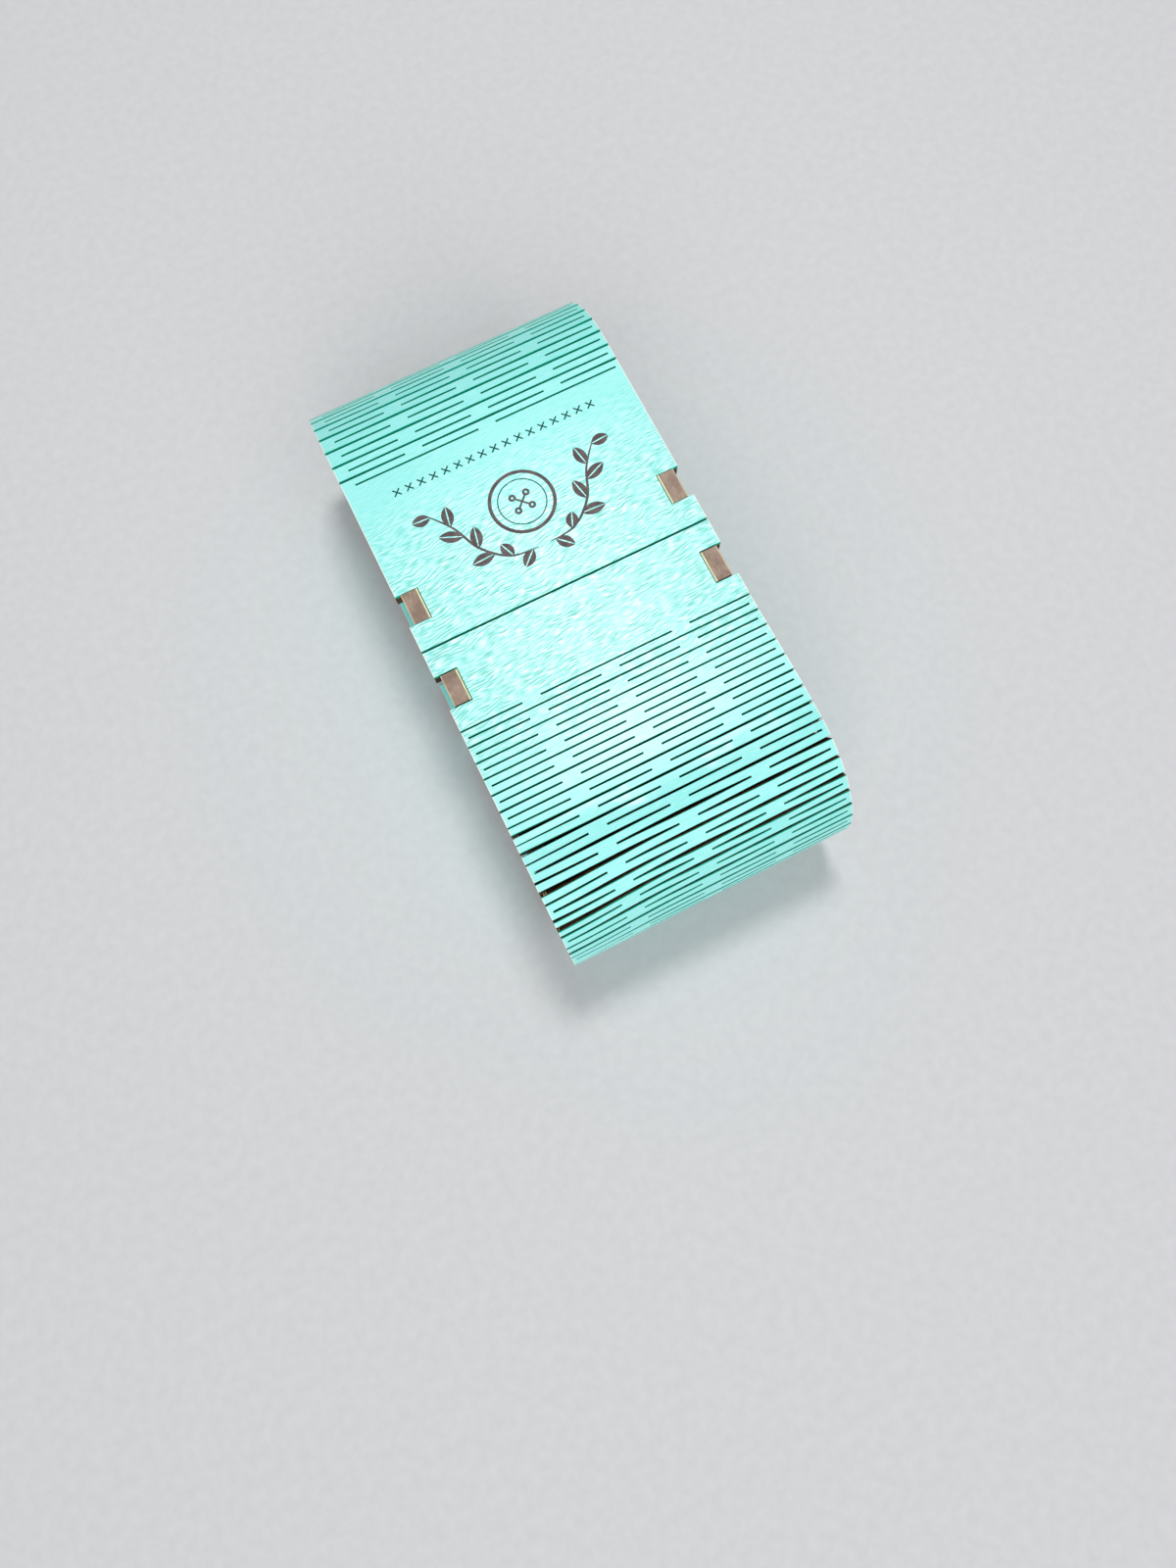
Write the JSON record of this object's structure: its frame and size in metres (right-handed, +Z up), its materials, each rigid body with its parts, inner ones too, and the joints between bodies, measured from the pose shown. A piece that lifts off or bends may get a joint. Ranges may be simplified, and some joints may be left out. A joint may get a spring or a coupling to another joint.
{
  "type": "oval sewing box",
  "caption": "Small oval sewing box cut from thin board, with a lid that bends open on a slotted living hinge.",
  "frame": {"origin": "middle of the underside, where the box rests", "axes": "+X across the box, +Y along it towards the end that stays shut, +Z up"},
  "size_m": [0.0532, 0.112, 0.0359],
  "materials": {
    "strip_board": "satin aqua film on 3 mm board, with fine ripples across and charred laser-cut edges",
    "plate_board": "satin aqua film on 3 mm board, with charred laser-cut edges"
  },
  "bodies": {
    "root": {"base_panel": "strip_board", "left_plate": "plate_board", "right_plate": "plate_board", "top_panel": "strip_board", "back_curve": "strip_board", "front_curve": "strip_board"},
    "lid_link_01": {"lid_link_01": "strip_board"},
    "lid_link_02": {"lid_link_02": "strip_board"},
    "lid_link_03": {"lid_link_03": "strip_board"},
    "lid_link_04": {"lid_link_04": "strip_board"},
    "lid_link_05": {"lid_link_05": "strip_board"},
    "lid_link_06": {"lid_link_06": "strip_board"},
    "lid_link_07": {"lid_link_07": "strip_board"},
    "lid_link_08": {"lid_link_08": "strip_board"},
    "lid_link_09": {"lid_link_09": "strip_board"},
    "lid_link_10": {"lid_link_10": "strip_board"},
    "lid_link_11": {"lid_link_11": "strip_board"},
    "lid_link_12": {"lid_link_12": "strip_board"},
    "lid_link_13": {"lid_link_13": "strip_board"},
    "lid_link_14": {"lid_link_14": "strip_board"},
    "lid_link_15": {"lid_link_15": "strip_board"},
    "lid_link_16": {"lid_link_16": "strip_board"},
    "lid_link_17": {"lid_link_17": "strip_board"},
    "lid_link_18": {"lid_link_18": "strip_board"},
    "lid_link_19": {"lid_link_19": "strip_board"},
    "lid_link_20": {"lid_link_20": "strip_board"},
    "lid_link_21": {"lid_link_21": "strip_board"},
    "lid_panel": {"lid_panel": "strip_board"}
  },
  "joints": [
    {"name": "lid_flex_01", "type": "hinge", "parent": "root", "child": "lid_link_01", "pos_m": [0, -0.0479, 0.00273], "axis": [1, 0, 0], "range_deg": [0, 1.2]},
    {"name": "lid_flex_02", "type": "hinge", "parent": "lid_link_01", "child": "lid_link_02", "pos_m": [0, -0.05049, 0.00474], "axis": [1, 0, 0], "range_deg": [0, 1.24]},
    {"name": "lid_flex_03", "type": "hinge", "parent": "lid_link_02", "child": "lid_link_03", "pos_m": [0, -0.05266, 0.0072], "axis": [1, 0, 0], "range_deg": [0, 1.34]},
    {"name": "lid_flex_04", "type": "hinge", "parent": "lid_link_03", "child": "lid_link_04", "pos_m": [0, -0.05433, 0.01001], "axis": [1, 0, 0], "range_deg": [0, 1.52]},
    {"name": "lid_flex_05", "type": "hinge", "parent": "lid_link_04", "child": "lid_link_05", "pos_m": [0, -0.05545, 0.0131], "axis": [1, 0, 0], "range_deg": [0, 1.78]},
    {"name": "lid_flex_06", "type": "hinge", "parent": "lid_link_05", "child": "lid_link_06", "pos_m": [0, -0.05597, 0.01633], "axis": [1, 0, 0], "range_deg": [0, 2.1]},
    {"name": "lid_flex_07", "type": "hinge", "parent": "lid_link_06", "child": "lid_link_07", "pos_m": [0, -0.05588, 0.01961], "axis": [1, 0, 0], "range_deg": [0, 2.5]},
    {"name": "lid_flex_08", "type": "hinge", "parent": "lid_link_07", "child": "lid_link_08", "pos_m": [0, -0.05518, 0.02281], "axis": [1, 0, 0], "range_deg": [0, 2.97]},
    {"name": "lid_flex_09", "type": "hinge", "parent": "lid_link_08", "child": "lid_link_09", "pos_m": [0, -0.05391, 0.02582], "axis": [1, 0, 0], "range_deg": [0, 3.51]},
    {"name": "lid_flex_10", "type": "hinge", "parent": "lid_link_09", "child": "lid_link_10", "pos_m": [0, -0.05215, 0.02855], "axis": [1, 0, 0], "range_deg": [0, 4.12]},
    {"name": "lid_flex_11", "type": "hinge", "parent": "lid_link_10", "child": "lid_link_11", "pos_m": [0, -0.04997, 0.03099], "axis": [1, 0, 0], "range_deg": [0, 4.81]},
    {"name": "lid_flex_12", "type": "hinge", "parent": "lid_link_11", "child": "lid_link_12", "pos_m": [0, -0.04735, 0.03304], "axis": [1, 0, 0], "range_deg": [0, 5.56]},
    {"name": "lid_flex_13", "type": "hinge", "parent": "lid_link_12", "child": "lid_link_13", "pos_m": [0, -0.04436, 0.0346], "axis": [1, 0, 0], "range_deg": [0, 6.39]},
    {"name": "lid_flex_14", "type": "hinge", "parent": "lid_link_13", "child": "lid_link_14", "pos_m": [0, -0.04107, 0.03556], "axis": [1, 0, 0], "range_deg": [0, 7.29]},
    {"name": "lid_flex_15", "type": "hinge", "parent": "lid_link_14", "child": "lid_link_15", "pos_m": [0, -0.03773, 0.03583], "axis": [1, 0, 0], "range_deg": [0, 8]},
    {"name": "lid_flex_16", "type": "hinge", "parent": "lid_link_15", "child": "lid_link_16", "pos_m": [0, -0.03469, 0.03585], "axis": [1, 0, 0], "range_deg": [0, 8]},
    {"name": "lid_flex_17", "type": "hinge", "parent": "lid_link_16", "child": "lid_link_17", "pos_m": [0, -0.03164, 0.03577], "axis": [1, 0, 0], "range_deg": [0, 8]},
    {"name": "lid_flex_18", "type": "hinge", "parent": "lid_link_17", "child": "lid_link_18", "pos_m": [0, -0.02861, 0.03563], "axis": [1, 0, 0], "range_deg": [0, 8]},
    {"name": "lid_flex_19", "type": "hinge", "parent": "lid_link_18", "child": "lid_link_19", "pos_m": [0, -0.0256, 0.03544], "axis": [1, 0, 0], "range_deg": [0, 8]},
    {"name": "lid_flex_20", "type": "hinge", "parent": "lid_link_19", "child": "lid_link_20", "pos_m": [0, -0.02261, 0.03525], "axis": [1, 0, 0], "range_deg": [0, 8]},
    {"name": "lid_flex_21", "type": "hinge", "parent": "lid_link_20", "child": "lid_link_21", "pos_m": [0, -0.01964, 0.03509], "axis": [1, 0, 0], "range_deg": [0, 8]},
    {"name": "lid_flex_22", "type": "hinge", "parent": "lid_link_21", "child": "lid_panel", "pos_m": [0, -0.01668, 0.03501], "axis": [1, 0, 0], "range_deg": [0, 8]}
  ],
  "couplings": [
    {"joint": "lid_flex_02", "follows": "lid_flex_01", "ratio": 1.03},
    {"joint": "lid_flex_03", "follows": "lid_flex_01", "ratio": 1.1202},
    {"joint": "lid_flex_04", "follows": "lid_flex_01", "ratio": 1.2704},
    {"joint": "lid_flex_05", "follows": "lid_flex_01", "ratio": 1.4807},
    {"joint": "lid_flex_06", "follows": "lid_flex_01", "ratio": 1.7511},
    {"joint": "lid_flex_07", "follows": "lid_flex_01", "ratio": 2.0816},
    {"joint": "lid_flex_08", "follows": "lid_flex_01", "ratio": 2.4722},
    {"joint": "lid_flex_09", "follows": "lid_flex_01", "ratio": 2.9229},
    {"joint": "lid_flex_10", "follows": "lid_flex_01", "ratio": 3.4337},
    {"joint": "lid_flex_11", "follows": "lid_flex_01", "ratio": 4.0045},
    {"joint": "lid_flex_12", "follows": "lid_flex_01", "ratio": 4.6355},
    {"joint": "lid_flex_13", "follows": "lid_flex_01", "ratio": 5.3265},
    {"joint": "lid_flex_14", "follows": "lid_flex_01", "ratio": 6.0776},
    {"joint": "lid_flex_15", "follows": "lid_flex_01", "ratio": 6.6667},
    {"joint": "lid_flex_16", "follows": "lid_flex_01", "ratio": 6.6667},
    {"joint": "lid_flex_17", "follows": "lid_flex_01", "ratio": 6.6667},
    {"joint": "lid_flex_18", "follows": "lid_flex_01", "ratio": 6.6667},
    {"joint": "lid_flex_19", "follows": "lid_flex_01", "ratio": 6.6667},
    {"joint": "lid_flex_20", "follows": "lid_flex_01", "ratio": 6.6667},
    {"joint": "lid_flex_21", "follows": "lid_flex_01", "ratio": 6.6667},
    {"joint": "lid_flex_22", "follows": "lid_flex_01", "ratio": 6.6667}
  ]
}
